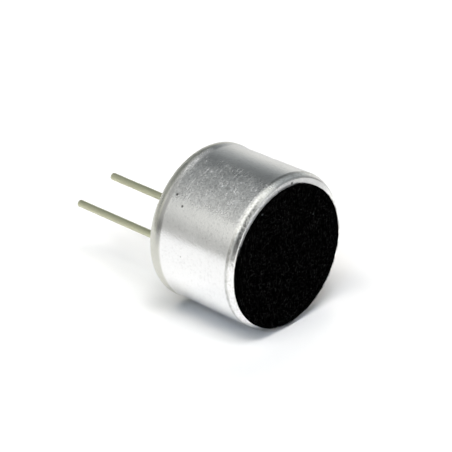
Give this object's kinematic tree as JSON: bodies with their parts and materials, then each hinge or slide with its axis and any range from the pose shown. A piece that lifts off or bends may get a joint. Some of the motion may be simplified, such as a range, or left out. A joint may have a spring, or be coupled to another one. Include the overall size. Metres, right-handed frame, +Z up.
{
  "type": "electret microphone capsule",
  "caption": "Round electret microphone capsule: drawn aluminium can with a felt-covered front, a board crimped into the rear and straight solder pins.",
  "frame": {"origin": "on the capsule's axis, at the plane of the crimped rear rim that seats on a board", "axes": "-Y out of the felt front, +Y along the pins, +Z up as the capsule lies on its side"},
  "size_m": [0.0098, 0.0154, 0.0096],
  "materials": {
    "case_aluminium": "satin",
    "black_felt": "matte",
    "brass": "satin",
    "metallised_film": "gloss",
    "amber_film": "gloss",
    "clear_film": "gloss",
    "holder_plastic": "matte",
    "board_laminate": "satin",
    "copper": "satin",
    "black_epoxy": "matte",
    "tinned_wire": "satin",
    "capacitor_ceramic": "matte",
    "solder": "satin"
  },
  "bodies": {
    "root": {"case": "case_aluminium", "dust_felt": "black_felt", "tension_ring": "brass", "diaphragm": "metallised_film", "spacer": "amber_film", "electret_film": "clear_film", "back_plate": "brass", "plate_holder": "holder_plastic", "gate_ring": "brass", "circuit_board": "board_laminate", "gate_track": "copper", "drain_track": "copper", "source_track": "copper", "jfet_body": "black_epoxy", "jfet_leads": "tinned_wire", "capacitors": "capacitor_ceramic", "capacitor_ends": "tinned_wire", "output_pad": "copper", "ground_pad": "copper", "output_pin": "tinned_wire", "ground_pin": "tinned_wire", "solder_joints": "solder"}
  },
  "joints": []
}
